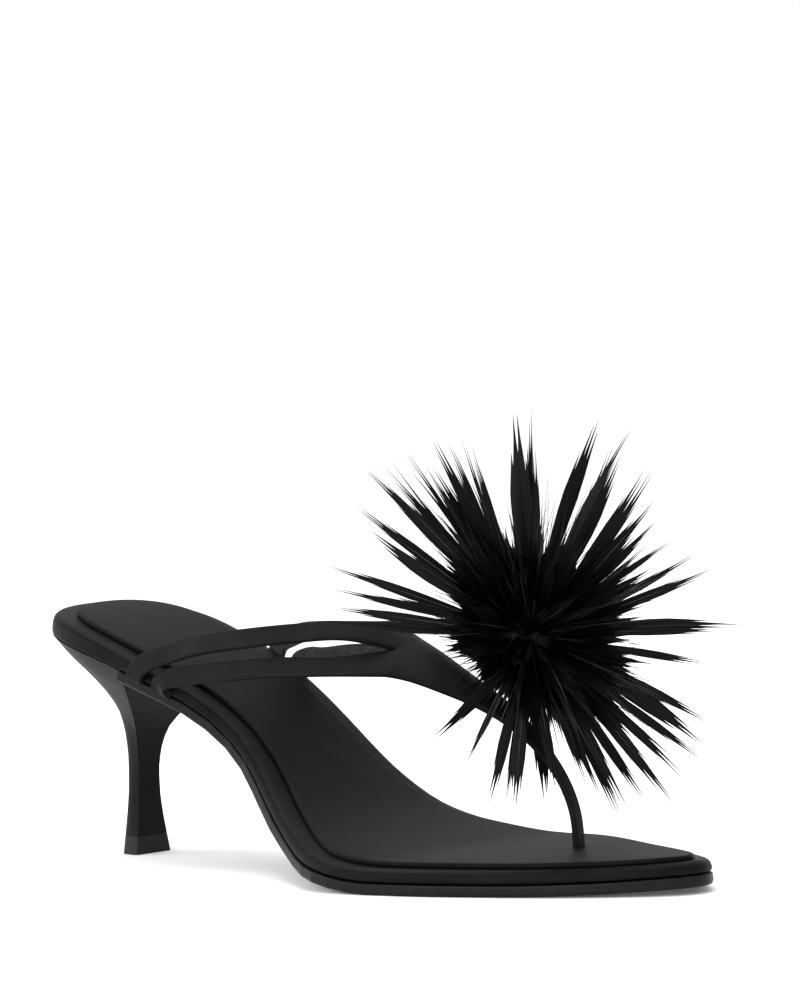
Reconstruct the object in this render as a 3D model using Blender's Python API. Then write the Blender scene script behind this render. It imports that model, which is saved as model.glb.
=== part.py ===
"""Toe post sandal for the right foot, on a slim heel, with a feather pompom on its vamp.

Metres, +Z up. X runs from the heel to the toe, and +Y is the inner side of the foot.
The origin is the middle of the heel tip's underside, and the shoe stands on Z = 0.
"""
import math
import random
from collections import namedtuple

import bmesh
import bpy
from mathutils import Vector
from mathutils.bvhtree import BVHTree

# Last
SHOE_LENGTH = 0.2236
BALL_WIDTH = 0.083
SEAT_HEIGHT = 0.0587
TOE_SPRING = 0.0019
HEEL_ROUND = 0.0306
TOE_ROUND = 0.0823
HEEL_ROUND_POWER = 2.35
TOE_ROUND_POWER = 2.15

# Sole stack
CLEARANCE = 0.0003
OUTSOLE_THICKNESS = 0.0030
OUTSOLE_EDGE_RADIUS = 0.0010
INSOLE_THICKNESS = 0.0034
INSOLE_HEEL_PADDING = 0.0022
INSOLE_EDGE_RADIUS = 0.0022
INSOLE_FOOT_RADIUS = 0.0008
LINING_THICKNESS = 0.0011
LINING_EDGE_RADIUS = 0.0006
LINING_FOOT_RADIUS = 0.0003
LINING_INSET = 0.0062
LINING_TOE_INSET = 0.0042
PADDING_END = 0.30
TOE_INSET_START = 0.80

# Heel
HEEL_BREAST = 0.0389
HEEL_SEAT_INSET = 0.0006
TIP_CENTRE = 0.0198
TIP_WIDTH = 0.0127
TIP_DEPTH = 0.0086
TIP_HEIGHT = 0.0047
NECK_WIDTH = 0.0077
NECK_DEPTH = 0.0059
NECK_FORWARD = 0.0004
HEEL_D_POWER = 2.6

# Upper
STRAP_WIDTH = 0.0054
STRAP_THICKNESS = 0.0018
THROAT_RISE = 0.051
VAMP_WIDTH = 0.028
VAMP_DROP = 0.0078
POST_WIDTH = 0.0038

# Pompom
POMPOM_CORE_RADIUS = 0.013
POMPOM_REACH = 0.061
POMPOM_STAND_OFF = 0.0205
POMPOM_TILT = 49.0
POMPOM_SEAT = 0.653
LOCK_WIDTH = 0.0042
SHORTEST_LOCK = 0.72
LOCK_WAIST = 0.45
SEAT_CONE = 20.0
SEAT_STUB_WIDTH = 0.8
UNDER_CONE = 70.0
UNDER_REACH = 0.022
LOCK_SEED = 7

# Fineness of the meshes
SOLE_STATIONS = 44
EDGE_STEPS = 3
HEEL_BACK_POINTS = 14
HEEL_RINGS = 18
STRAP_STEPS = 3
STRIP_COLUMNS = 2
POMPOM_SUBDIVISIONS = 3

# Half widths of the last: length is a share of the shoe's length, outer and inner of the ball width
Width = namedtuple("Width", "length outer inner")
LAST_WIDTHS = (
    Width(0.107, 0.318, 0.314),
    Width(0.182, 0.308, 0.313),
    Width(0.321, 0.229, 0.295),
    Width(0.459, 0.377, 0.336),
    Width(0.587, 0.537, 0.442),
    Width(0.693, 0.494, 0.507),
    Width(0.800, 0.423, 0.451),
    Width(0.906, 0.349, 0.364),
    Width(1.000, 0.266, 0.270),
)

# Underside of the sole: seat is a share of the seat's height, spring of the toe spring
Height = namedtuple("Height", "length seat spring")
SOLE_HEIGHTS = (
    Height(0.000, 1.000, 0.0),
    Height(0.080, 0.944, 0.0),
    Height(0.170, 0.845, 0.0),
    Height(0.260, 0.701, 0.0),
    Height(0.330, 0.525, 0.0),
    Height(0.395, 0.320, 0.0),
    Height(0.480, 0.131, 0.0),
    Height(0.565, 0.044, 0.0),
    Height(0.650, 0.000, 0.0),
    Height(0.800, 0.000, 0.0),
    Height(0.900, 0.000, 0.3),
    Height(1.000, 0.000, 1.0),
)

# Heel from the floor up: how much of the neck's and the seat's outline each height takes, the
# tip's outline making up the rest
HeelShape = namedtuple("HeelShape", "height neck seat")
HEEL_SHAPES = (
    HeelShape(0.00, 0.00, 0.000),
    HeelShape(0.10, 0.36, 0.000),
    HeelShape(0.20, 0.70, 0.000),
    HeelShape(0.31, 0.95, 0.000),
    HeelShape(0.42, 1.00, 0.000),
    HeelShape(0.53, 0.97, 0.026),
    HeelShape(0.64, 0.89, 0.105),
    HeelShape(0.74, 0.71, 0.290),
    HeelShape(0.84, 0.44, 0.560),
    HeelShape(0.92, 0.20, 0.800),
    HeelShape(1.00, 0.00, 1.000),
)

# Middle line of each strap from the groove of the sole to the vamp: side is a share of the ball
# width, rise is the height over the footbed as a share of the throat's rise, lean is in degrees
StrapRow = namedtuple("StrapRow", "length side rise lean")
REAR_OUTER_STRAP = (
    StrapRow(0.219, -0.320, 0.008, 0),
    StrapRow(0.248, -0.316, 0.118, 10),
    StrapRow(0.279, -0.301, 0.227, 18),
    StrapRow(0.315, -0.290, 0.362, 22),
    StrapRow(0.378, -0.269, 0.617, 28),
    StrapRow(0.449, -0.231, 0.881, 34),
    StrapRow(0.516, -0.176, 1.025, 42),
)
FRONT_OUTER_STRAP = (
    StrapRow(0.250, -0.308, 0.000, 0),
    StrapRow(0.275, -0.304, 0.080, 6),
    StrapRow(0.306, -0.296, 0.182, 12),
    StrapRow(0.360, -0.278, 0.377, 18),
    StrapRow(0.413, -0.254, 0.596, 22),
    StrapRow(0.449, -0.237, 0.708, 26),
    StrapRow(0.503, -0.202, 0.826, 32),
)
REAR_INNER_STRAP = (
    StrapRow(0.212, 0.333, 0.015, 0),
    StrapRow(0.234, 0.325, 0.102, 8),
    StrapRow(0.270, 0.293, 0.218, 18),
    StrapRow(0.328, 0.235, 0.404, 24),
    StrapRow(0.395, 0.175, 0.669, 30),
    StrapRow(0.463, 0.118, 0.886, 36),
    StrapRow(0.512, 0.080, 0.985, 42),
)
FRONT_INNER_STRAP = (
    StrapRow(0.246, 0.330, 0.004, 0),
    StrapRow(0.270, 0.318, 0.084, 6),
    StrapRow(0.306, 0.282, 0.186, 12),
    StrapRow(0.373, 0.220, 0.446, 20),
    StrapRow(0.440, 0.169, 0.695, 28),
    StrapRow(0.498, 0.128, 0.837, 34),
)

# Where each strap comes out of the groove, as shares of the shoe's length
REAR_OUTER_ROOT = 0.203
FRONT_OUTER_ROOT = 0.238
REAR_INNER_ROOT = 0.201
FRONT_INNER_ROOT = 0.237

# Ridge of the vamp from the toe post back to the throat: width is how far it has grown from the
# post's width to the vamp's, drop is a share of the vamp's drop at its edges
VampRow = namedtuple("VampRow", "length side rise width drop")
VAMP_RIDGE = (
    VampRow(0.768, 0.120, 0.045, 0.00, 0.00),
    VampRow(0.765, 0.118, 0.202, 0.00, 0.00),
    VampRow(0.751, 0.112, 0.359, 0.01, 0.01),
    VampRow(0.725, 0.099, 0.516, 0.06, 0.03),
    VampRow(0.691, 0.080, 0.663, 0.19, 0.10),
    VampRow(0.653, 0.058, 0.790, 0.40, 0.26),
    VampRow(0.615, 0.036, 0.884, 0.63, 0.47),
    VampRow(0.581, 0.016, 0.956, 0.84, 0.74),
    VampRow(0.556, 0.000, 1.000, 1.00, 1.00),
)

STRIPS_ON_VAMP = 4


def smooth(rows, column, length):
    """Reads a column of a table at a length, on a curve that never overshoots its rows."""
    xs = [row.length for row in rows]
    ys = [getattr(row, column) for row in rows]
    return smooth_curve(xs, ys, length)


def smooth_curve(xs, ys, x):
    """Monotone cubic curve through the points, held level past both ends."""
    if x <= xs[0]:
        return ys[0]
    if x >= xs[-1]:
        return ys[-1]
    steps = [b - a for a, b in zip(xs, xs[1:])]
    rates = [(b - a) / step for a, b, step in zip(ys, ys[1:], steps)]
    slopes = [rates[0]]
    for before, after, left, right in zip(rates, rates[1:], steps, steps[1:]):
        if before * after <= 0:
            slopes.append(0.0)
        else:
            near, far = 2 * right + left, right + 2 * left
            slopes.append((near + far) / (near / before + far / after))
    slopes.append(rates[-1])
    index = max(i for i, start in enumerate(xs[:-1]) if start <= x)
    step = steps[index]
    t = (x - xs[index]) / step
    return (ys[index] * (1 + 2 * t) * (1 - t) ** 2 + slopes[index] * step * t * (1 - t) ** 2
            + ys[index + 1] * t * t * (3 - 2 * t) + slopes[index + 1] * step * t * t * (t - 1))


def ease(start, end, value):
    """Grows smoothly from 0 at the start to 1 at the end."""
    t = min(max((value - start) / (end - start), 0.0), 1.0)
    return t * t * (3 - 2 * t)


def cap(distance, reach, power):
    """Rounds an end: 0 at the end itself and 1 from the reach on."""
    gap = min(max(1 - distance / reach, 0.0), 1.0)
    return (1 - gap ** power) ** (1 / power)


def underside(length):
    """Height of the sole's underside at a share of the shoe's length."""
    return (SEAT_HEIGHT * smooth(SOLE_HEIGHTS, "seat", length)
            + TOE_SPRING * smooth(SOLE_HEIGHTS, "spring", length))


def half_width(length, side):
    """Half width of the footbed, on the outer side for -1 and the inner side for +1."""
    column = "inner" if side > 0 else "outer"
    distance = length * SHOE_LENGTH
    rounding = (cap(distance, HEEL_ROUND, HEEL_ROUND_POWER)
                * cap(SHOE_LENGTH - distance, TOE_ROUND, TOE_ROUND_POWER))
    return BALL_WIDTH * smooth(LAST_WIDTHS, column, length) * rounding


def insole_thickness(length):
    """The insole is padded more under the heel."""
    return INSOLE_THICKNESS + INSOLE_HEEL_PADDING * (1 - ease(0.0, PADDING_END, length))


def insole_bottom():
    return OUTSOLE_THICKNESS + CLEARANCE


def place(x, y, lift):
    """Point over the plan place x, y, lifted square to the sole's underside."""
    share = 0.001
    length = x / SHOE_LENGTH
    slope = (underside(length + share) - underside(length - share)) / (2 * share * SHOE_LENGTH)
    size = math.hypot(1.0, slope)
    return Vector((x - lift * slope / size - TIP_CENTRE, y, underside(length) + lift / size))


def footbed_top(length):
    """Height of the insole's upper face at a share of the shoe's length."""
    share = 0.001
    slope = (underside(length + share) - underside(length - share)) / (2 * share * SHOE_LENGTH)
    return underside(length) + (insole_bottom() + insole_thickness(length)) * math.hypot(1.0, slope)


def edge_place(u, side, start, inset):
    """Plan place on the footbed's edge, moved in square to the edge.

    The run u goes from 0 at the start to 1 at the toe, with its places packed at round ends.
    """
    def on_edge(run):
        if start > 0:
            length = start + (1 - start) * math.sin(run * math.pi / 2)
        else:
            length = (1 - math.cos(run * math.pi)) / 2
        return length * SHOE_LENGTH, side * half_width(length, side)

    nudge = 0.0005
    x, y = on_edge(u)
    before, after = on_edge(max(u - nudge, 0.0)), on_edge(min(u + nudge, 1.0))
    run_x, run_y = after[0] - before[0], after[1] - before[1]
    if start > 0 and u == 0.0:
        return x, y - side * inset
    size = math.hypot(run_x, run_y)
    return x + inset * side * run_y / size, y - inset * side * run_x / size


def material(name, colour, roughness, metallic=0.0):
    """Makes a plain material of one finish."""
    finish = bpy.data.materials.new(name)
    finish.use_nodes = True
    shader = finish.node_tree.nodes["Principled BSDF"]
    shader.inputs["Base Color"].default_value = (*colour, 1.0)
    shader.inputs["Roughness"].default_value = roughness
    shader.inputs["Metallic"].default_value = metallic
    return finish


def add_piece(name, shape, finish, sharp_angle=40.0):
    """Turns a bmesh into a named object, smooth but for its sharp edges."""
    bmesh.ops.recalc_face_normals(shape, faces=shape.faces)
    mesh = bpy.data.meshes.new(name)
    shape.to_mesh(mesh)
    shape.free()
    mesh.shade_smooth()
    mesh.set_sharp_from_angle(angle=math.radians(sharp_angle))
    mesh.materials.append(finish)
    piece = bpy.data.objects.new(name, mesh)
    bpy.context.scene.collection.objects.link(piece)
    return piece


def bridge(shape, lower, upper):
    """Joins two closed rings of as many points with quads."""
    count = len(lower)
    for i in range(count):
        j = (i + 1) % count
        shape.faces.new((lower[i], lower[j], upper[j], upper[i]))


def close_across(shape, ring, outer_count):
    """Closes a ring with strips across it, from each outer point to the inner one beside it.

    The ring holds the outer side from the start to the toe, then the inner side back.
    """
    outer = ring[:outer_count]
    inner = [outer[-1]] + ring[outer_count:]
    if len(inner) < outer_count:
        inner.append(outer[0])
    inner.reverse()
    for i in range(outer_count - 1):
        corners = []
        for vertex in (outer[i], outer[i + 1], inner[i + 1], inner[i]):
            if vertex not in corners:
                corners.append(vertex)
        shape.faces.new(corners)


def sole_ring(shape, inset, lift, start):
    """Ring of points round the sole at an inset and a lift, both functions of the length."""
    places = []
    for step in range(SOLE_STATIONS + 1):
        places.append((step / SOLE_STATIONS, -1))
    last = 0 if start > 0 else 1
    for step in range(SOLE_STATIONS - 1, last - 1, -1):
        places.append((step / SOLE_STATIONS, 1))
    ring = []
    for u, side in places:
        x, y = edge_place(u, side, start, 0.0)
        length = x / SHOE_LENGTH
        x, y = edge_place(u, side, start, inset(length))
        if u in (0.0, 1.0) and not (start > 0 and u == 0.0):
            y = 0.0
        ring.append(shape.verts.new(place(x, y, lift(length))))
    return ring


def quarter(radius, rising):
    """Inset and height steps round an edge, from its outer face up, or from its foot out."""
    steps = []
    for step in range(EDGE_STEPS + 1):
        angle = math.pi / 2 * step / EDGE_STEPS
        if rising:
            steps.append((radius * (1 - math.cos(angle)), radius * (math.sin(angle) - 1)))
        else:
            steps.append((radius * (1 - math.sin(angle)), radius * (1 - math.cos(angle))))
    return steps


def slab(name, finish, bottom, thickness, inset, foot_radius, edge_radius, start=0.0):
    """Layer of the sole with rounded edges.

    Its bottom, thickness and inset are functions of the length.
    """
    shape = bmesh.new()
    rings = []
    for move_in, rise in quarter(foot_radius, rising=False):
        rings.append(sole_ring(shape, lambda s, m=move_in: inset(s) + m,
                               lambda s, r=rise: bottom(s) + r, start))
    for move_in, rise in quarter(edge_radius, rising=True):
        rings.append(sole_ring(shape, lambda s, m=move_in: inset(s) + m,
                               lambda s, r=rise: bottom(s) + thickness(s) + r, start))
    for lower, upper in zip(rings, rings[1:]):
        bridge(shape, lower, upper)
    close_across(shape, rings[0], SOLE_STATIONS + 1)
    close_across(shape, rings[-1], SOLE_STATIONS + 1)
    return add_piece(name, shape, finish)


def lining_inset(length):
    """The sock lining stops short of the edge, and less so round the toe."""
    return LINING_INSET + (LINING_TOE_INSET - LINING_INSET) * ease(TOE_INSET_START, 1.0, length)


def d_outline(run, side, centre, width, depth):
    """Point on a D, from the corner of its flat front at run 0 to the middle of its back at 1."""
    back = math.sin(run * math.pi / 2)
    front = centre + depth / 2
    return front - depth * back, side * width / 2 * (1 - back ** HEEL_D_POWER) ** (1 / HEEL_D_POWER)


def heel_outlines(run, side):
    """The tip's, the neck's and the seat's outline at one place round the heel."""
    tip = d_outline(run, side, TIP_CENTRE, TIP_WIDTH, TIP_DEPTH)
    neck = d_outline(run, side, TIP_CENTRE + NECK_FORWARD, NECK_WIDTH, NECK_DEPTH)
    seat_x = HEEL_BREAST - (HEEL_BREAST - HEEL_SEAT_INSET) * math.sin(run * math.pi / 2)
    breadth = half_width(seat_x / SHOE_LENGTH, side) - HEEL_SEAT_INSET
    seat = (seat_x, side * max(breadth, 0.0) if run < 1.0 else 0.0)
    return tip, neck, seat


def heel_point(run, side, share):
    """Point on the heel's side at a share of the height from the floor to its seat."""
    tip, neck, seat = heel_outlines(run, side)
    heights = [row.height for row in HEEL_SHAPES]
    to_neck = smooth_curve(heights, [row.neck for row in HEEL_SHAPES], share)
    to_seat = smooth_curve(heights, [row.seat for row in HEEL_SHAPES], share)
    to_tip = 1 - to_neck - to_seat
    x, y = (to_tip * a + to_neck * b + to_seat * c for a, b, c in zip(tip, neck, seat))
    top = place(seat[0], seat[1], OUTSOLE_THICKNESS)
    shift = share * (top.x + TIP_CENTRE - seat[0])
    return Vector((x + shift - TIP_CENTRE, y, share * top.z))


def heel_ring(shape, share_at):
    """Ring round the heel; share_at gives the height share from the seat's own height."""
    ring = []
    runs = [(i / HEEL_BACK_POINTS, -1) for i in range(HEEL_BACK_POINTS + 1)]
    runs += [(i / HEEL_BACK_POINTS, 1) for i in range(HEEL_BACK_POINTS - 1, -1, -1)]
    for run, side in runs:
        top = heel_point(run, side, 1.0).z
        ring.append(shape.verts.new(heel_point(run, side, share_at(top))))
    return ring


def heel_solid(name, finish, shares):
    """Stacks rings up the heel and closes both ends."""
    shape = bmesh.new()
    rings = [heel_ring(shape, share_at) for share_at in shares]
    for lower, upper in zip(rings, rings[1:]):
        bridge(shape, lower, upper)
    close_across(shape, rings[0], HEEL_BACK_POINTS + 1)
    close_across(shape, rings[-1], HEEL_BACK_POINTS + 1)
    return add_piece(name, shape, finish, sharp_angle=35.0)


def make_heel(finish):
    """The heel, from just over its tip to its seat under the insole."""
    foot = TIP_HEIGHT + CLEARANCE
    shares = []
    for step in range(HEEL_RINGS + 1):
        t = step / HEEL_RINGS
        shares.append(lambda top, t=t: foot / top + (1 - foot / top) * t)
    return heel_solid("heel", finish, shares)


def make_heel_tip(finish):
    """The hard rubber top piece that the heel stands on."""
    return heel_solid("heel_tip", finish, [lambda top: 0.0, lambda top: TIP_HEIGHT / top])


def vamp_heading():
    """Level direction from the toe post back to the throat."""
    post, throat = VAMP_RIDGE[0], VAMP_RIDGE[-1]
    heading = Vector(((throat.length - post.length) * SHOE_LENGTH,
                      (throat.side - post.side) * BALL_WIDTH, 0.0))
    return heading.normalized()


def vamp_across():
    """Level direction across the vamp, from its outer edge to its inner edge."""
    heading = vamp_heading()
    return Vector((heading.y, -heading.x, 0.0))


def ridge_point(row):
    x = row.length * SHOE_LENGTH
    return Vector((x - TIP_CENTRE, row.side * BALL_WIDTH,
                   footbed_top(row.length) + row.rise * THROAT_RISE))


def vamp_line(row):
    """Points across the vamp at one row of its ridge, from the outer edge to the inner one."""
    middle = ridge_point(row)
    half = (POST_WIDTH + row.width * (VAMP_WIDTH - POST_WIDTH)) / 2
    columns = STRIPS_ON_VAMP * STRIP_COLUMNS
    points = []
    for column in range(columns + 1):
        across = 2 * column / columns - 1
        points.append(middle + vamp_across() * (half * across)
                      - Vector((0, 0, row.drop * VAMP_DROP * across * across)))
    return points


def post_foot():
    """Points across the toe post's lower end, which stops just over the outsole."""
    row = VAMP_RIDGE[0]
    middle = ridge_point(row)
    middle.z = underside(row.length) + insole_bottom()
    columns = STRIPS_ON_VAMP * STRIP_COLUMNS
    return [middle + vamp_across() * (POST_WIDTH * (column / columns - 0.5))
            for column in range(columns + 1)]


def strap_line(row, ahead, behind, side):
    """Points across a strap at one row, from its front edge to its rear edge."""
    middle = strap_middle(row)
    along = (ahead - behind).normalized()
    level = Vector((along.y, -along.x, 0.0)).normalized()
    if level.y * side < 0:
        level.negate()
    lean = math.radians(row.lean)
    face = level * math.cos(lean) + Vector((0, 0, math.sin(lean)))
    across = face.cross(along).normalized()
    if across.z < 0:
        across.negate()
    return [middle + across * (STRAP_WIDTH * (column / STRIP_COLUMNS - 0.5))
            for column in range(STRIP_COLUMNS + 1)]


def strap_middle(row):
    x = row.length * SHOE_LENGTH
    return Vector((x - TIP_CENTRE, row.side * BALL_WIDTH,
                   footbed_top(row.length) + row.rise * THROAT_RISE))


def strap_root(root, side):
    """Points across a strap where it comes out of the groove, close against the insole."""
    points = []
    stand_off = CLEARANCE + STRAP_THICKNESS / 2
    for column in range(STRIP_COLUMNS + 1):
        x = root * SHOE_LENGTH + STRAP_WIDTH * (0.5 - column / STRIP_COLUMNS)
        y = side * (half_width(x / SHOE_LENGTH, side) + stand_off)
        points.append(place(x, y, insole_bottom()))
    return points


def strap_lines(rows, root, side, vamp_end):
    """Every line of points across a strap, from the groove to the vamp's own points."""
    middles = [strap_middle(row) for row in rows]
    end_middle = sum(vamp_end, Vector()) / len(vamp_end)
    root_points = strap_root(root, side)
    root_middle = sum(root_points, Vector()) / len(root_points)
    route = [root_middle] + middles + [end_middle]
    lines = [root_points]
    for index, row in enumerate(rows):
        lines.append(strap_line(row, route[index + 2], route[index], side))
    return lines + [vamp_end]


def through(lines):
    """Puts more lines between the given ones, on smooth curves through them."""
    rows = []
    for index in range(len(lines) - 1):
        before = lines[max(index - 1, 0)]
        after = lines[min(index + 2, len(lines) - 1)]
        for step in range(STRAP_STEPS):
            t = step / STRAP_STEPS
            rows.append([curve_point(a, b, c, d, t) for a, b, c, d
                         in zip(before, lines[index], lines[index + 1], after)])
    return rows + [lines[-1]]


def curve_point(before, start, end, after, t):
    """Catmull-Rom curve between the start and the end."""
    return 0.5 * (2 * start + (end - before) * t
                  + (2 * before - 5 * start + 4 * end - after) * t * t
                  + (3 * start - before - 3 * end + after) * t ** 3)


def add_sheet(shape, rows):
    """Adds a grid of quads through rows of points."""
    grid = [[shape.verts.new(point) for point in row] for row in rows]
    for lower, upper in zip(grid, grid[1:]):
        for i in range(len(lower) - 1):
            shape.faces.new((lower[i], lower[i + 1], upper[i + 1], upper[i]))


def make_upper(finish):
    """Straps, vamp and toe post as one sheet of leather with its thickness."""
    shape = bmesh.new()
    vamp_rows = [post_foot()] + [vamp_line(row) for row in VAMP_RIDGE]
    add_sheet(shape, through(vamp_rows))
    throat = vamp_rows[-1]
    count = STRIP_COLUMNS
    straps = (
        (FRONT_OUTER_STRAP, FRONT_OUTER_ROOT, -1, throat[0:count + 1]),
        (REAR_OUTER_STRAP, REAR_OUTER_ROOT, -1, throat[count:2 * count + 1]),
        (REAR_INNER_STRAP, REAR_INNER_ROOT, 1, throat[3 * count:2 * count - 1:-1]),
        (FRONT_INNER_STRAP, FRONT_INNER_ROOT, 1, throat[4 * count:3 * count - 1:-1]),
    )
    for rows, root, side, vamp_end in straps:
        add_sheet(shape, through(strap_lines(rows, root, side, vamp_end)))
    weld = 0.00001
    bmesh.ops.remove_doubles(shape, verts=shape.verts, dist=weld)
    upper = add_piece("upper", shape, finish, sharp_angle=50.0)
    wall = upper.modifiers.new("wall", "SOLIDIFY")
    wall.thickness = STRAP_THICKNESS
    wall.offset = 0.0
    wall.use_even_offset = True
    return upper


def cut_post_slot(*pieces):
    """Cuts the slot that the toe post passes through, with clearance all round."""
    foot = post_foot()
    middle = sum(foot, Vector()) / len(foot)
    slot = bpy.data.meshes.new("post_slot")
    shape = bmesh.new()
    bmesh.ops.create_cube(shape, size=1.0)
    height = 2 * (insole_thickness(VAMP_RIDGE[0].length) + LINING_THICKNESS + OUTSOLE_THICKNESS)
    bmesh.ops.scale(shape, verts=shape.verts, vec=(STRAP_THICKNESS + 2 * CLEARANCE,
                                                   POST_WIDTH + 2 * CLEARANCE, height))
    shape.to_mesh(slot)
    shape.free()
    cutter = bpy.data.objects.new("post_slot", slot)
    across = vamp_across()
    cutter.rotation_euler = (0, 0, math.atan2(-across.x, across.y))
    cutter.location = middle
    cutter.hide_render = True
    cutter.display_type = "WIRE"
    bpy.context.scene.collection.objects.link(cutter)
    for piece in pieces:
        cut = piece.modifiers.new("post_slot", "BOOLEAN")
        cut.object = cutter
        cut.operation = "DIFFERENCE"
        cut.solver = "EXACT"


def surface_tree(pieces):
    """One search tree over the evaluated faces of the pieces."""
    graph = bpy.context.evaluated_depsgraph_get()
    points, faces = [], []
    for piece in pieces:
        evaluated = piece.evaluated_get(graph)
        mesh = evaluated.to_mesh()
        start = len(points)
        points += [vertex.co.copy() for vertex in mesh.vertices]
        faces += [[start + i for i in polygon.vertices] for polygon in mesh.polygons]
        evaluated.to_mesh_clear()
    return BVHTree.FromPolygons(points, faces)


def free_reach(tree, starts, direction, reach, room):
    """How far a lock can grow from the core before it comes within its room of another piece."""
    step = 0.0001
    distance = POMPOM_CORE_RADIUS
    while distance < reach:
        ahead = direction * (distance + step)
        if min(tree.find_nearest(start + ahead)[3] for start in starts) < room:
            break
        distance += step
    return distance


def pompom_frame():
    """Middle of the pompom and the direction from it back to its seat on the vamp."""
    ridge = [ridge_point(row) for row in VAMP_RIDGE]
    lengths = [row.length for row in VAMP_RIDGE]
    order = sorted(range(len(lengths)), key=lambda i: lengths[i])
    seat = Vector([smooth_curve([lengths[i] for i in order], [ridge[i][axis] for i in order],
                                POMPOM_SEAT) for axis in range(3)])
    tilt = math.radians(POMPOM_TILT)
    out = -vamp_heading() * math.cos(tilt) + Vector((0, 0, math.sin(tilt)))
    return seat + out * POMPOM_STAND_OFF, -out


def make_pompom(finish, neighbours):
    """A round core with a lock of feathers drawn out of each of its faces.

    Locks near the seat are short, so that the pompom stays over the vamp and off the toes.
    """
    chance = random.Random(LOCK_SEED)
    tree = surface_tree(neighbours)
    centre, inwards = pompom_frame()
    shape = bmesh.new()
    bmesh.ops.create_icosphere(shape, subdivisions=POMPOM_SUBDIVISIONS,
                               radius=POMPOM_CORE_RADIUS)
    bmesh.ops.translate(shape, verts=shape.verts, vec=centre)
    seat_cone = math.cos(math.radians(SEAT_CONE))
    under_cone = math.cos(math.radians(UNDER_CONE))
    for face in list(shape.faces):
        middle = face.calc_center_median()
        weights = [chance.uniform(0.6, 1.4) for _ in face.verts]
        aim = sum(((vertex.co - centre) * weight for vertex, weight
                   in zip(face.verts, weights)), Vector())
        direction = aim.normalized()
        length = POMPOM_REACH * chance.uniform(SHORTEST_LOCK, 1.0)
        is_seat = direction.dot(inwards) > seat_cone
        if not is_seat and direction.dot(inwards) > under_cone:
            length = UNDER_REACH
        starts = [centre]
        if is_seat:
            starts += [centre + (vertex.co - middle) * SEAT_STUB_WIDTH for vertex in face.verts]
        room = CLEARANCE if is_seat else LOCK_WIDTH / 2
        tip = free_reach(tree, starts, direction, length, room)
        grow_lock(shape, face, centre, direction, tip, is_seat)
    return add_piece("pompom", shape, finish, sharp_angle=60.0)


def grow_lock(shape, face, centre, direction, tip, is_seat):
    """Draws one lock out of a face: a slim waist, then a point, or a blunt stub at the seat."""
    base = POMPOM_CORE_RADIUS
    if tip - base < LOCK_WIDTH / 2:
        return
    grown = bmesh.ops.extrude_discrete_faces(shape, faces=[face])["faces"][0]
    middle = grown.calc_center_median()
    reach = tip if is_seat else base + (tip - base) * LOCK_WAIST
    size = max((vertex.co - middle).length for vertex in grown.verts)
    narrow = SEAT_STUB_WIDTH if is_seat else min(LOCK_WIDTH / 2 / size, 1.0)
    for vertex in grown.verts:
        vertex.co = centre + direction * reach + (vertex.co - middle) * narrow
    if not is_seat:
        point = bmesh.ops.poke(shape, faces=[grown])["verts"][0]
        point.co = centre + direction * tip


def main():
    for thing in list(bpy.data.objects):
        bpy.data.objects.remove(thing, do_unlink=True)

    satin = material("black_satin", (0.014, 0.013, 0.013), 0.62)
    sole_edge = material("sole_edge", (0.012, 0.011, 0.011), 0.45)
    rubber = material("heel_rubber", (0.016, 0.016, 0.016), 0.7)
    lining = material("lining_satin", (0.012, 0.011, 0.012), 0.66)
    strap_satin = material("strap_satin", (0.015, 0.013, 0.013), 0.6)
    feather = material("feathers", (0.006, 0.006, 0.008), 0.5)

    slab("outsole", sole_edge, lambda s: 0.0, lambda s: OUTSOLE_THICKNESS, lambda s: 0.0,
         OUTSOLE_EDGE_RADIUS, OUTSOLE_EDGE_RADIUS / 2,
         start=(HEEL_BREAST + CLEARANCE) / SHOE_LENGTH)
    insole = slab("insole", satin, lambda s: insole_bottom(), insole_thickness, lambda s: 0.0,
                  INSOLE_FOOT_RADIUS, INSOLE_EDGE_RADIUS)
    sock = slab("sock_lining", lining,
                lambda s: insole_bottom() + insole_thickness(s) + CLEARANCE,
                lambda s: LINING_THICKNESS, lining_inset,
                LINING_FOOT_RADIUS, LINING_EDGE_RADIUS)
    make_heel(satin)
    make_heel_tip(rubber)
    upper = make_upper(strap_satin)
    cut_post_slot(insole, sock)
    make_pompom(feather, [upper, insole, sock])


main()
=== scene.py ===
import math
import random
from collections import namedtuple

import bpy
import numpy as np
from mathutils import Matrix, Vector
from mathutils.bvhtree import BVHTree


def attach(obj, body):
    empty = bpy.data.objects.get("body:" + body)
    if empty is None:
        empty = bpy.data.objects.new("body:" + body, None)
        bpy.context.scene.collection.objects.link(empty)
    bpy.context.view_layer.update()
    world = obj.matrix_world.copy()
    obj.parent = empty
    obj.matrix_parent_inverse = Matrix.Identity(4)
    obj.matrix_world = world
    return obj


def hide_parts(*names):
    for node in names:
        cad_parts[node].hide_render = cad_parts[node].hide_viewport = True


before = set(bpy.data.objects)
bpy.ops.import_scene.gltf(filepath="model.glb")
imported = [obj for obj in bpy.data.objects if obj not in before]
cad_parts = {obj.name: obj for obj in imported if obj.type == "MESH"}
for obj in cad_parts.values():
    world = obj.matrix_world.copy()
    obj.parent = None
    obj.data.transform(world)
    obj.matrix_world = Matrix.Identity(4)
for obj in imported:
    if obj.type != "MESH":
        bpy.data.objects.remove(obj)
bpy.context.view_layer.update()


# Camera, floor and light

CAMERA_LENS = 285.6
CAMERA_SENSOR = 36.0
CAMERA_PLACE = (1.5404, -1.4727, 0.2399)
CAMERA_TURN = (86.039, 2.158, 44.175)
CLIP_START = 0.1
CLIP_END = 50.0

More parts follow.
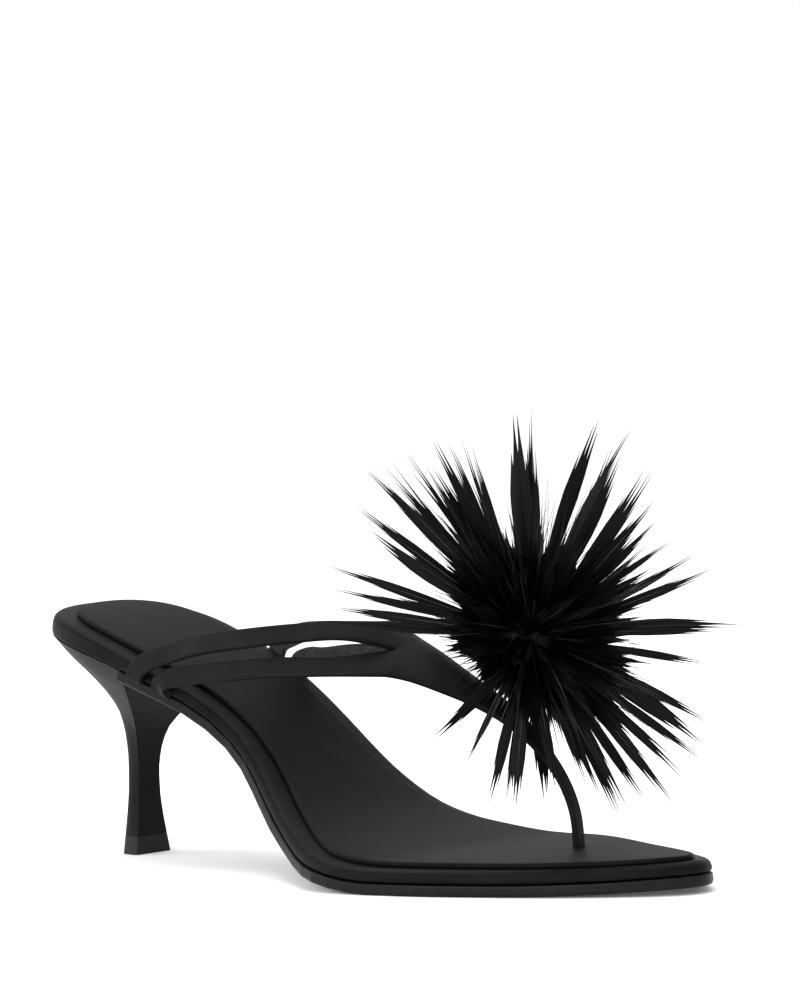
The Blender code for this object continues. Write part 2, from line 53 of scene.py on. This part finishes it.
FLOOR_SIZE = 9.0
FLOOR_MIDDLE = (0.09, 0.0, 0.0)
FLOOR_GREY = 0.95
FLOOR_GLOW = 0.08
SURROUND_STRENGTH = 1.0

Softbox = namedtuple("Softbox", "name place aim size power")
SOFTBOXES = (
    Softbox("top_light", (-0.1, 0.1, 1.1), (0.09, 0.0, 0.03), 0.8, 7.0),
    Softbox("side_light", (0.2, -1.2, 0.5), (0.06, 0.0, 0.04), 0.6, 7.0),
    Softbox("heel_light", (-0.9, -0.6, 0.4), (0.0, 0.0, 0.04), 0.5, 4.0),
)


def make_camera():
    """Long lens, low over the floor, at the outer side of the toe."""
    data = bpy.data.cameras.new("camera")
    data.lens = CAMERA_LENS
    data.sensor_width = CAMERA_SENSOR
    data.clip_start = CLIP_START
    data.clip_end = CLIP_END
    camera = bpy.data.objects.new("camera", data)
    camera.location = CAMERA_PLACE
    camera.rotation_euler = tuple(math.radians(turn) for turn in CAMERA_TURN)
    bpy.context.scene.collection.objects.link(camera)
    bpy.context.scene.camera = camera


def make_softbox(row):
    """Square soft light turned to a point."""
    data = bpy.data.lights.new(row.name, "AREA")
    data.shape = "SQUARE"
    data.size = row.size
    data.energy = row.power
    light = bpy.data.objects.new(row.name, data)
    light.location = row.place
    light.rotation_euler = (Vector(row.aim) - Vector(row.place)).to_track_quat("-Z", "Y").to_euler()
    bpy.context.scene.collection.objects.link(light)


def floor_finish():
    """Matt white that glows a little, so that the floor runs into the surround."""
    finish = bpy.data.materials.new("studio_floor")
    finish.use_nodes = True
    shader = finish.node_tree.nodes["Principled BSDF"]
    shader.inputs["Base Color"].default_value = (FLOOR_GREY, FLOOR_GREY, FLOOR_GREY, 1.0)
    shader.inputs["Emission Color"].default_value = (1.0, 1.0, 1.0, 1.0)
    shader.inputs["Emission Strength"].default_value = FLOOR_GLOW
    shader.inputs["Roughness"].default_value = 0.9
    shader.inputs["Specular IOR Level"].default_value = 0.0
    return finish


def make_studio():
    """White surround, a white floor and the soft lights."""
    scene = bpy.context.scene
    scene.view_settings.view_transform = "Standard"
    world = bpy.data.worlds.new("studio")
    world.use_nodes = True
    surround = world.node_tree.nodes["Background"]
    surround.inputs["Color"].default_value = (1.0, 1.0, 1.0, 1.0)
    surround.inputs["Strength"].default_value = SURROUND_STRENGTH
    scene.world = world

    bpy.ops.object.select_all(action="DESELECT")
    bpy.ops.mesh.primitive_plane_add(size=FLOOR_SIZE, location=FLOOR_MIDDLE)
    floor = bpy.context.object
    floor.name = "floor"
    floor.data.materials.append(floor_finish())

    for row in SOFTBOXES:
        make_softbox(row)


# Finishes

# Scale that gives a wave texture one rib in a metre
RIB_SCALE = math.pi / 10

# Satin: clouds and creases in repeats a metre, depths in metres
CLOUD_SCALE = 90.0
FLECK_SHARE = 0.45
CLOUD_DARK_AT = 0.45
CLOUD_LIGHT_AT = 0.95
RIB_DIRECTIONS = (("X", 1.0), ("Y", 0.8), ("Z", 0.8))
RIB_WAVER = 1.2
RIB_WAVER_SCALE = 3.0
THREAD_DEPTH = 0.0001
CREASE_SCALE = 160.0
CREASE_RELIEF = 0.25
CREASE_DEPTH = 0.0006
SATIN_SPECULAR = 0.06
SATIN_SHEEN = 0.006
SATIN_SHEEN_SPREAD = 0.4

# Leather and rubber: grain depth in metres
PORE_DARK_AT = 0.3
PORE_LIGHT_AT = 0.7
GRAIN_DEPTH = 0.0002
LEATHER_SPECULAR = 0.12

# Feather: colours from the darkest vane to the palest quill
VANE_BLUE_BLACK = (0.0012, 0.0012, 0.0018)
VANE_BLACK = (0.0045, 0.0043, 0.0045)
VANE_BLACK_AT = 0.6
QUILL_GREY = (0.09, 0.09, 0.095)
BARB_SCALE = 1400.0
BARB_RELIEF = 0.35
BARB_DEPTH = 0.0002
FEATHER_SPECULAR = 0.10

Finish = namedtuple("Finish", "material tree shader place")


def new_finish(name, roughness, specular):
    """Material with its node tree, its shader and the coordinates of its piece."""
    material = bpy.data.materials.new(name)
    material.use_nodes = True
    tree = material.node_tree
    shader = tree.nodes["Principled BSDF"]
    shader.inputs["Roughness"].default_value = roughness
    shader.inputs["Specular IOR Level"].default_value = specular
    place = tree.nodes.new("ShaderNodeTexCoord").outputs["Object"]
    return Finish(material, tree, shader, place)


def texture(finish, kind, scale):
    """Texture node on the piece's coordinates."""
    node = finish.tree.nodes.new(kind)
    node.inputs["Scale"].default_value = scale
    finish.tree.links.new(finish.place, node.inputs["Vector"])
    return node


def noise(finish, scale, detail):
    node = texture(finish, "ShaderNodeTexNoise", scale)
    node.inputs["Detail"].default_value = detail
    return node.outputs["Fac"]


def ribs(finish, direction, scale):
    """Fine wavering ribs across a direction."""
    node = texture(finish, "ShaderNodeTexWave", scale)
    node.wave_type = "BANDS"
    node.bands_direction = direction
    node.inputs["Distortion"].default_value = RIB_WAVER
    node.inputs["Detail"].default_value = 1.0
    node.inputs["Detail Scale"].default_value = RIB_WAVER_SCALE
    return node.outputs["Fac"]


def blended(finish, first, second, share=1.0):
    """The second height or shade, plus a share of the first."""
    node = finish.tree.nodes.new("ShaderNodeMath")
    node.operation = "MULTIPLY_ADD"
    finish.tree.links.new(first, node.inputs[0])
    node.inputs[1].default_value = share
    finish.tree.links.new(second, node.inputs[2])
    return node.outputs["Value"]


def colour(finish, shade, *stops):
    """Base colour from a shade, through stops that each have a place and a colour."""
    node = finish.tree.nodes.new("ShaderNodeValToRGB")
    for element, (place, tint) in zip(node.color_ramp.elements, (stops[0], stops[-1])):
        element.position = place
        element.color = (*tint, 1.0)
    for place, tint in stops[1:-1]:
        node.color_ramp.elements.new(place).color = (*tint, 1.0)
    finish.tree.links.new(shade, node.inputs["Fac"])
    finish.tree.links.new(node.outputs["Color"], finish.shader.inputs["Base Color"])


def bump(finish, height, strength, distance, under=None):
    """Relief from a height, on top of the relief under it."""
    node = finish.tree.nodes.new("ShaderNodeBump")
    node.inputs["Strength"].default_value = strength
    node.inputs["Distance"].default_value = distance
    finish.tree.links.new(height, node.inputs["Height"])
    if under is not None:
        finish.tree.links.new(under, node.inputs["Normal"])
    return node.outputs["Normal"]


def satin_finish(name, dark, light, roughness, threads, relief):
    """Black satin: fine ribs, faint clouds in its colour and slight creases.

    threads is the number of threads in a metre.
    """
    finish = new_finish(name, roughness, SATIN_SPECULAR)
    clouds = noise(finish, CLOUD_SCALE, 4.0)
    flecks = noise(finish, threads, 2.0)
    colour(finish, blended(finish, flecks, clouds, FLECK_SHARE),
           (CLOUD_DARK_AT, dark), (CLOUD_LIGHT_AT, light))

    heights = [ribs(finish, direction, threads * RIB_SCALE * share)
               for direction, share in RIB_DIRECTIONS]
    weave = blended(finish, blended(finish, heights[0], heights[1]), heights[2])
    threads_normal = bump(finish, weave, relief, THREAD_DEPTH)
    creases = noise(finish, CREASE_SCALE, 3.0)
    normal = bump(finish, creases, CREASE_RELIEF, CREASE_DEPTH, under=threads_normal)
    finish.tree.links.new(normal, finish.shader.inputs["Normal"])

    finish.shader.inputs["Sheen Weight"].default_value = SATIN_SHEEN
    finish.shader.inputs["Sheen Roughness"].default_value = SATIN_SHEEN_SPREAD
    return finish.material


def leather_finish(name, dark, light, roughness, grain, relief):
    """Grained leather: small cells with fine pores. grain is the number of cells in a metre."""
    finish = new_finish(name, roughness, LEATHER_SPECULAR)
    cells = texture(finish, "ShaderNodeTexVoronoi", grain).outputs["Distance"]
    pores = noise(finish, grain / 2, 5.0)
    colour(finish, pores, (PORE_DARK_AT, dark), (PORE_LIGHT_AT, light))
    normal = bump(finish, blended(finish, cells, pores), relief, GRAIN_DEPTH)
    finish.tree.links.new(normal, finish.shader.inputs["Normal"])
    return finish.material


def feather_finish():
    """Blue-black feather; each barb has its own shade, and quills are paler."""
    finish = new_finish("black_feather", 0.42, FEATHER_SPECULAR)
    shade = finish.tree.nodes.new("ShaderNodeAttribute")
    shade.attribute_name = "shade"
    colour(finish, shade.outputs["Fac"],
           (0.0, VANE_BLUE_BLACK), (VANE_BLACK_AT, VANE_BLACK), (1.0, QUILL_GREY))
    normal = bump(finish, noise(finish, BARB_SCALE, 3.0), BARB_RELIEF, BARB_DEPTH)
    finish.tree.links.new(normal, finish.shader.inputs["Normal"])
    return finish.material


# Modelling help

MERGE_DISTANCE = 0.00001
QUAD_ANGLE = math.radians(60)


def select_only(piece):
    bpy.ops.object.select_all(action="DESELECT")
    piece.select_set(True)
    bpy.context.view_layer.objects.active = piece


def copy_of(node, name):
    """Copy of a CAD node as one merged mesh of quads."""
    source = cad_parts[node]
    piece = bpy.data.objects.new(name, source.data.copy())
    bpy.context.scene.collection.objects.link(piece)
    piece.data.materials.clear()
    select_only(piece)
    bpy.ops.object.mode_set(mode="EDIT")
    bpy.ops.mesh.select_all(action="SELECT")
    bpy.ops.mesh.remove_doubles(threshold=MERGE_DISTANCE)
    bpy.ops.mesh.tris_convert_to_quads(face_threshold=QUAD_ANGLE, shape_threshold=QUAD_ANGLE)
    bpy.ops.object.mode_set(mode="OBJECT")
    return piece


def soften(piece, width, angle, levels):
    """Rounds the edges sharper than an angle in degrees, then smooths the whole piece."""
    select_only(piece)
    edges = piece.modifiers.new("edges", "BEVEL")
    edges.width = width
    edges.segments = 2
    edges.limit_method = "ANGLE"
    edges.angle_limit = math.radians(angle)
    smooth = piece.modifiers.new("smooth", "SUBSURF")
    smooth.levels = levels
    smooth.render_levels = levels
    bpy.ops.object.modifier_apply(modifier="edges")
    bpy.ops.object.modifier_apply(modifier="smooth")
    bpy.ops.object.shade_smooth()


def put_on(piece, finish):
    """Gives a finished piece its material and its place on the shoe."""
    piece.data.materials.append(finish)
    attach(piece, "root")


# Straps, vamp and toe post

STRAP_EDGE = 0.0004
STRAP_EDGE_ANGLE = 50
FOOT_LINE_Y = 0.002
INTO_FOOT = Vector((-0.004, 0.0, -0.010))
LINING_FACES_FOOT = 0.45


def make_straps(satin, lining):
    """The upper with soft edges, satin outside and grey leather towards the foot."""
    straps = copy_of("upper", "straps")
    straps.data.materials.append(satin)
    straps.data.materials.append(lining)
    for face in straps.data.polygons:
        to_foot = INTO_FOOT + Vector((0.0, FOOT_LINE_Y - face.center.y, 0.0))
        faces_foot = face.normal.dot(to_foot.normalized()) > LINING_FACES_FOOT
        face.material_index = 1 if faces_foot else 0
    soften(straps, STRAP_EDGE, STRAP_EDGE_ANGLE, 2)
    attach(straps, "root")
    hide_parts("upper")


# Footbed and heel tip

FOOTBED_EDGE = 0.0003
SOCK_EDGE = 0.0002
PAD_EDGE_ANGLE = 50

# The sock lining's solid lies this far above the insole, and it is glued down here
SOCK_GAP = 0.00028

# The top piece's solid ends this far under the heel, and a fine seam is left here
TIP_GAP = 0.00022
TIP_UPPER_HALF = 0.003
TIP_EDGE = 0.0003
TIP_EDGE_ANGLE = 30


def make_footbed(satin, lining):
    """Padded insole and the thin sock lining on it, with softer edges than their solids."""
    footbed = copy_of("insole", "footbed")
    soften(footbed, FOOTBED_EDGE, PAD_EDGE_ANGLE, 1)
    put_on(footbed, satin)
    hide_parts("insole")

    sock = copy_of("sock_lining", "sock_pad")
    for vertex in sock.data.vertices:
        if vertex.normal.z < 0:
            vertex.co.z -= SOCK_GAP
    soften(sock, SOCK_EDGE, PAD_EDGE_ANGLE, 1)
    put_on(sock, lining)
    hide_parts("sock_lining")


def make_tip(rubber):
    """Top piece with softened edges, closed up to the heel with a fine seam."""
    tip = copy_of("heel_tip", "rubber_tip")
    for vertex in tip.data.vertices:
        if vertex.co.z > TIP_UPPER_HALF:
            vertex.co.z += TIP_GAP
    soften(tip, TIP_EDGE, TIP_EDGE_ANGLE, 1)
    put_on(tip, rubber)
    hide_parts("heel_tip")


# Pompom

POMPOM_CENTRE = Vector((0.1394, 0.0076, 0.0625))
CORE_RADIUS = 0.0105
CORE_ROUGHNESS = 0.0008
ROOT_RADIUS = CORE_RADIUS * 0.6
FACE_ANGLE = math.radians(44.6)
TO_TOE = Vector((math.cos(FACE_ANGLE), math.sin(FACE_ANGLE), 0.0))
TO_FRONT = Vector((math.sin(FACE_ANGLE), -math.cos(FACE_ANGLE), 0.0))
UP = Vector((0.0, 0.0, 1.0))

# Long feathers seen round the pompom's outline: angle from the toe end up, in degrees, reach from
# the middle and width of the vane in millimetres, and how far the tip bends to the left of its run
Lance = namedtuple("Lance", "angle reach width bend")
OUTLINE = (
    Lance(1, 53, 2.6, -2), Lance(4, 58, 4.2, -4), Lance(15, 44, 2.4, 2), Lance(16, 54, 3.2, 3),
    Lance(19, 52, 2.6, 5), Lance(30, 41, 2.2, 5), Lance(31, 48, 2.0, 1), Lance(38, 48, 3.4, 3),
    Lance(42, 50, 3.8, 3), Lance(46, 56, 3.0, 6), Lance(50, 57, 3.2, 4), Lance(57, 55, 4.2, 3),
    Lance(62, 58, 2.8, 2), Lance(66, 64, 3.0, -6), Lance(73, 63, 4.6, -3), Lance(83, 52, 2.8, 3),
    Lance(86, 51, 3.2, 2), Lance(88, 64, 2.0, 0), Lance(91, 62, 6.4, 1), Lance(105, 56, 2.0, 1),
    Lance(107, 58, 2.0, 0), Lance(110, 58, 2.2, 1), Lance(112, 63, 3.4, 2), Lance(116, 56, 3.6, 2),
    Lance(119, 56, 2.2, 0), Lance(121, 61, 2.2, 1), Lance(127, 57, 3.4, 2), Lance(127, 62, 1.8, 0),
    Lance(129, 62, 2.4, 2), Lance(131, 66, 3.2, 1), Lance(141, 63, 2.2, 0), Lance(142, 58, 3.0, -1),
    Lance(147, 53, 4.6, -3), Lance(159, 60, 3.2, 2), Lance(162, 40, 2.0, 0), Lance(164, 58, 2.6, 1),
    Lance(170, 55, 2.8, 0), Lance(174, 58, 3.0, -1), Lance(229, 39, 4.0, -2),
    Lance(240, 39, 2.0, 0), Lance(254, 48, 3.4, 0), Lance(259, 47, 1.8, 0), Lance(262, 48, 4.0, 1),
    Lance(274, 48, 4.6, 0), Lance(277, 43, 2.6, 1), Lance(290, 44, 2.4, -1), Lance(292, 50, 3.2, 0),
    Lance(296, 60, 2.6, -2), Lance(299, 55, 3.4, -2), Lance(304, 57, 3.2, -2),
    Lance(312, 60, 3.8, -3), Lance(317, 59, 3.0, -2), Lance(322, 62, 2.8, -1),
    Lance(331, 59, 5.0, -7), Lance(334, 57, 3.2, -3), Lance(349, 52, 2.4, -1),
    Lance(356, 37, 2.0, 4),
)
MILLIMETRE = 0.001
OUTLINE_STRANDS = 4
OUTLINE_SWAY = 14
OUTLINE_LEANS = (18, 28, 38, 48, 56)
LONGEST_FEATHER = 0.068

# How far the shorter feathers fill each side: angle and reach in millimetres
Fill = namedtuple("Fill", "angle reach")
FILLING = (
    Fill(0, 27), Fill(8, 34), Fill(20, 36), Fill(34, 38), Fill(47, 27), Fill(57, 32),
    Fill(68, 34), Fill(77, 31), Fill(90, 38), Fill(102, 31), Fill(114, 38), Fill(124, 40),
    Fill(133, 33), Fill(144, 34), Fill(152, 28), Fill(161, 22), Fill(170, 28), Fill(182, 24),
    Fill(200, 20), Fill(226, 18), Fill(245, 22), Fill(266, 24), Fill(280, 26), Fill(296, 34),
    Fill(312, 40), Fill(326, 33), Fill(340, 36), Fill(352, 26), Fill(360, 27),
)
FILL_COUNT = 420
FILL_STRANDS = 3
LONGEST_FILL = 0.058
SHORTEST_FILL = 0.014

# Barbs: rings along one, where its taper starts, and how blunt its tip is
BARB_RINGS = 8
BARB_TAPER_FROM = 0.7
LOOSE_RINGS = 5
LOOSE_TAPER_FROM = 0.3
TIP_SHARE = 0.06

# A vane's width from root to tip, as shares of its length and of its full width
VANE_PLACES = (0.0, 0.18, 0.38, 0.55, 0.68, 0.84, 1.0)
VANE_WIDTHS = (0.20, 0.46, 0.82, 1.0, 0.96, 0.66, 0.22)
VANE_THICKNESS = 0.00022
STRANDS_PART_FROM = 0.55
PARTING_POWER = 1.6
RAGGEDNESS = (0.006, 0.012, 0.02, 0.05)
QUILL_WIDTH = 0.00032
QUILL_THICKNESS = 0.0005
QUILL_SHADES = (0.3, 0.5, 0.7, 0.95)
DARKEST_VANE = 0.05
LIGHTEST_VANE = 0.62

# Fine loose barbs between the feathers
LOOSE_COUNT = 500
LOOSE_ROOT = 0.009
LOOSE_PAST_FILL = 0.008
LONGEST_LOOSE = 0.06
LOOSE_THICKNESS = 0.0002
LOOSE_SHADES = (0.2, 0.3, 0.4, 0.5, 0.6, 0.8)

# Feathers end this far from the straps and the footbed
CLEAR_OF_SHOE = 0.0015


def model_barb(rings, taper_from):
    """Four-sided barb, one unit long and wide, as its corner points and faces."""
    bpy.ops.object.select_all(action="DESELECT")
    bpy.ops.mesh.primitive_circle_add(vertices=4, radius=0.5, fill_type="NGON")
    barb = bpy.context.object
    bpy.ops.object.mode_set(mode="EDIT")
    bpy.ops.mesh.select_all(action="SELECT")
    for step in range(1, rings + 1):
        bpy.ops.mesh.extrude_region_move(TRANSFORM_OT_translate={"value": (0, 0, 1 / rings)})
        height = step / rings
        if height > taper_from:
            before = max((1 - height + 1 / rings) / (1 - taper_from), 0.0)
            after = max((1 - height) / (1 - taper_from), TIP_SHARE)
            shrink = min(after, 1.0) / min(before, 1.0)
            bpy.ops.transform.resize(value=(shrink, shrink, 1.0), center_override=(0, 0, height))
    bpy.ops.mesh.select_all(action="SELECT")
    bpy.ops.mesh.normals_make_consistent(inside=False)
    bpy.ops.object.mode_set(mode="OBJECT")
    points = np.array([vertex.co for vertex in barb.data.vertices])
    faces = [tuple(polygon.vertices) for polygon in barb.data.polygons]
    bpy.data.objects.remove(barb, do_unlink=True)
    return points, faces


class Plumage:
    """Gathers planted barbs into one mesh."""

    def __init__(self, barb):
        self.points, self.faces = barb
        self.all_points = []
        self.all_faces = []
        self.shades = []
        self.count = 0

    def plant(self, root, run, side, length, width, thickness, drift, curl, shade, vane=None):
        """Adds one barb.

        drift moves its middle line to the side along its length, and curl bends it out of flat.
        vane gives the share of the width at each place along it.
        """
        flat = side.cross(run).normalized()
        along = self.points[:, 2]
        breadth = width * (np.ones_like(along) if vane is None else vane(along))
        place = (np.outer(along * length, run)
                 + np.outer(drift(along) + self.points[:, 0] * breadth, side)
                 + np.outer(curl * along ** 2 + self.points[:, 1] * thickness, flat))
        self.all_points.append(place + np.array(root))
        self.all_faces += [[self.count + corner for corner in face] for face in self.faces]
        self.shades.append(np.full(len(along), shade))
        self.count += len(along)

    def finish(self, name):
        """Makes the mesh, with each barb's shade on its points."""
        mesh = bpy.data.meshes.new(name)
        mesh.from_pydata(np.concatenate(self.all_points).tolist(), [], self.all_faces)
        shade = mesh.attributes.new("shade", "FLOAT", "POINT")
        shade.data.foreach_set("value", np.concatenate(self.shades))
        piece = bpy.data.objects.new(name, mesh)
        bpy.context.scene.collection.objects.link(piece)
        select_only(piece)
        bpy.ops.object.shade_smooth_by_angle(angle=math.radians(70))
        return piece


def any_side(run, chance):
    """Unit vector square to a run, at a turn taken by chance."""
    other = Vector((chance.gauss(0, 1), chance.gauss(0, 1), chance.gauss(0, 1)))
    return run.cross(other).normalized()


def vane_shape(along):
    """Share of a feather's width at each place from its root to its tip."""
    return np.interp(along, VANE_PLACES, VANE_WIDTHS)


def feather(plumage, run, side, reach, width, strands, chance, curl, bend):
    """One feather: a vane of clumped barbs that part at their tips, and its quill."""
    root = POMPOM_CENTRE + run * ROOT_RADIUS
    length = reach - ROOT_RADIUS
    shade = chance.uniform(DARKEST_VANE, 0.6)
    ragged = chance.choice(RAGGEDNESS)
    for index in range(strands):
        across = 2 * index / (strands - 1) - 1
        share = 1.0 - 0.3 * abs(across) * chance.uniform(0.4, 1.0) - chance.uniform(0.0, 0.04)
        spread = across * length * ragged * chance.uniform(0.2, 1.0)
        wander = chance.uniform(-0.3, 0.3) * ragged * length

        def drift(along, across=across, share=share, spread=spread, wander=wander):
            here = along * share
            apart = np.maximum(here - STRANDS_PART_FROM, 0.0) / (1 - STRANDS_PART_FROM)
            return (across * width * 0.3 * vane_shape(here) + bend * here ** 2
                    + (spread + wander) * apart ** PARTING_POWER)

        strand_shade = min(max(shade + chance.uniform(-0.12, 0.12), 0.0), LIGHTEST_VANE)
        plumage.plant(root, run, side, length * share, width * 1.4 / strands, VANE_THICKNESS, drift,
                      curl * share ** 2, strand_shade,
                      lambda along, share=share: vane_shape(along * share))
    quill = chance.uniform(0.55, 0.8)
    plumage.plant(root, run, side, length * quill, QUILL_WIDTH, QUILL_THICKNESS,
                  lambda along: bend * (along * quill) ** 2, curl * quill ** 2,
                  chance.choice(QUILL_SHADES))


def filling_reach(angle):
    angles = [row.angle for row in FILLING]
    reaches = [row.reach for row in FILLING]
    return float(np.interp(angle % 360, angles, reaches)) * MILLIMETRE


def outline_run(angle, lean):
    """Direction at an angle from the toe end up, leaning out of the outline to the front."""
    turn = math.radians(angle)
    run = TO_TOE * math.cos(turn) + UP * math.sin(turn)
    return (run * math.cos(lean) + TO_FRONT * math.sin(lean)).normalized()


def shoe_surface():
    """Search tree over the upper and the footbed, which feathers stay clear of."""
    points, faces = [], []
    for name in ("upper", "insole", "sock_lining"):
        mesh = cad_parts[name].data
        start = len(points)
        points += [vertex.co.copy() for vertex in mesh.vertices]
        faces += [[start + corner for corner in polygon.vertices] for polygon in mesh.polygons]
    return BVHTree.FromPolygons(points, faces)


def free_reach(tree, run):
    """How far from the pompom's middle a feather can go before it meets the shoe."""
    hit = tree.ray_cast(POMPOM_CENTRE + run * ROOT_RADIUS, run)
    return 1.0 if hit[0] is None else hit[3] + ROOT_RADIUS - CLEAR_OF_SHOE


def make_core(finish):
    """Dark bound middle that the feathers are sewn to."""
    bpy.ops.object.select_all(action="DESELECT")
    bpy.ops.mesh.primitive_ico_sphere_add(subdivisions=4, radius=CORE_RADIUS,
                                          location=POMPOM_CENTRE)
    core = bpy.context.object
    core.name = "pompom_core"
    bpy.ops.object.mode_set(mode="EDIT")
    bpy.ops.mesh.select_all(action="SELECT")
    bpy.ops.transform.vertex_random(offset=CORE_ROUGHNESS, seed=3)
    bpy.ops.object.mode_set(mode="OBJECT")
    bpy.ops.object.transform_apply(location=True, rotation=True, scale=True)
    bpy.ops.object.shade_smooth()
    put_on(core, finish)


def plant_outline(plumage, tree, chance):
    """Long feathers of the outline, each leaning forward until it clears the shoe."""
    for row in OUTLINE:
        leans = (chance.uniform(-OUTLINE_SWAY, OUTLINE_SWAY), *OUTLINE_LEANS)
        for lean in leans:
            run = outline_run(row.angle, math.radians(lean))
            reach = row.reach * MILLIMETRE / math.cos(math.radians(lean))
            if free_reach(tree, run) > reach:
                break
        reach = min(reach, free_reach(tree, run), LONGEST_FEATHER)
        side = TO_FRONT.cross(run).normalized()
        side = (side + TO_FRONT * chance.uniform(-0.4, 0.4)).normalized()
        side = (side - run * side.dot(run)).normalized()
        curl = chance.uniform(-0.003, 0.003)
        feather(plumage, run, side, reach, row.width * MILLIMETRE, OUTLINE_STRANDS, chance, curl,
                row.bend * MILLIMETRE)


def plant_filling(plumage, tree, chance):
    """Shorter feathers on all sides."""
    for index in range(FILL_COUNT):
        angle = chance.uniform(0, 360)
        lean = math.asin(chance.uniform(-1, 1))
        run = outline_run(angle, lean)
        allowed = filling_reach(angle) * chance.uniform(0.72, 1.02)
        reach = min(allowed / max(math.cos(lean), 0.2), LONGEST_FILL * chance.uniform(0.8, 1.0),
                    free_reach(tree, run))
        if reach < SHORTEST_FILL:
            continue
        side = any_side(run, chance)
        width = chance.uniform(0.0026, 0.0048)
        curl = chance.uniform(-0.004, 0.004)
        bend = chance.uniform(-0.002, 0.002)
        feather(plumage, run, side, reach, width, FILL_STRANDS, chance, curl, bend)


def plant_loose_barbs(plumage, tree, chance):
    """Fine curved barbs that stand out between the feathers."""
    for index in range(LOOSE_COUNT):
        lean = math.asin(chance.uniform(-1, 1))
        angle = chance.uniform(0, 360)
        run = outline_run(angle, lean)
        allowed = (filling_reach(angle) + LOOSE_PAST_FILL) * chance.uniform(0.6, 1.1)
        reach = min(allowed / max(math.cos(lean), 0.2), LONGEST_LOOSE, free_reach(tree, run))
        if reach < SHORTEST_FILL:
            continue
        bend = chance.uniform(-0.006, 0.006)
        side = any_side(run, chance)
        width = chance.uniform(0.0002, 0.0004)
        curl = chance.uniform(-0.005, 0.005)
        plumage.plant(POMPOM_CENTRE + run * LOOSE_ROOT, run, side, reach - LOOSE_ROOT, width,
                      LOOSE_THICKNESS, lambda along, bend=bend: bend * along ** 2, curl,
                      chance.choice(LOOSE_SHADES))


def make_pompom(finish):
    """Long feathers round the outline, a fill of shorter ones, and fine loose barbs."""
    chance = random.Random(11)
    tree = shoe_surface()
    plumage = Plumage(model_barb(BARB_RINGS, BARB_TAPER_FROM))
    plant_outline(plumage, tree, chance)
    plant_filling(plumage, tree, chance)
    piece = plumage.finish("pompom_feathers")
    put_on(piece, finish)
    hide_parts("pompom")

    fine = Plumage(model_barb(LOOSE_RINGS, LOOSE_TAPER_FROM))
    plant_loose_barbs(fine, tree, chance)
    loose = fine.finish("loose_barbs")
    put_on(loose, finish)


# Build

make_camera()
make_studio()

satin = satin_finish("black_satin", dark=(0.002, 0.002, 0.002), light=(0.006, 0.006, 0.006),
                     roughness=0.5, threads=2400.0, relief=0.12)
strap_satin = satin_finish("strap_satin", dark=(0.0045, 0.0036, 0.004),
                           light=(0.010, 0.0082, 0.009), roughness=0.5, threads=2600.0,
                           relief=0.15)
sock_satin = satin_finish("sock_satin", dark=(0.002, 0.002, 0.002), light=(0.005, 0.005, 0.005),
                          roughness=0.55, threads=2600.0, relief=0.12)
strap_lining = leather_finish("strap_lining", dark=(0.022, 0.022, 0.022),
                              light=(0.05, 0.05, 0.05), roughness=0.6, grain=1500.0, relief=0.5)
sole_edge = leather_finish("sole_leather", dark=(0.005, 0.005, 0.005),
                           light=(0.010, 0.0095, 0.0095), roughness=0.42, grain=900.0, relief=0.2)
heel_rubber = leather_finish("heel_rubber", dark=(0.012, 0.012, 0.012),
                             light=(0.02, 0.02, 0.019), roughness=0.62, grain=2600.0, relief=0.25)
black_feather = feather_finish()

for node, finish in (("outsole", sole_edge), ("heel", satin)):
    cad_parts[node].data.materials.clear()
    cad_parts[node].data.materials.append(finish)

make_footbed(satin, sock_satin)
make_straps(strap_satin, strap_lining)
make_tip(heel_rubber)
make_core(black_feather)
make_pompom(black_feather)
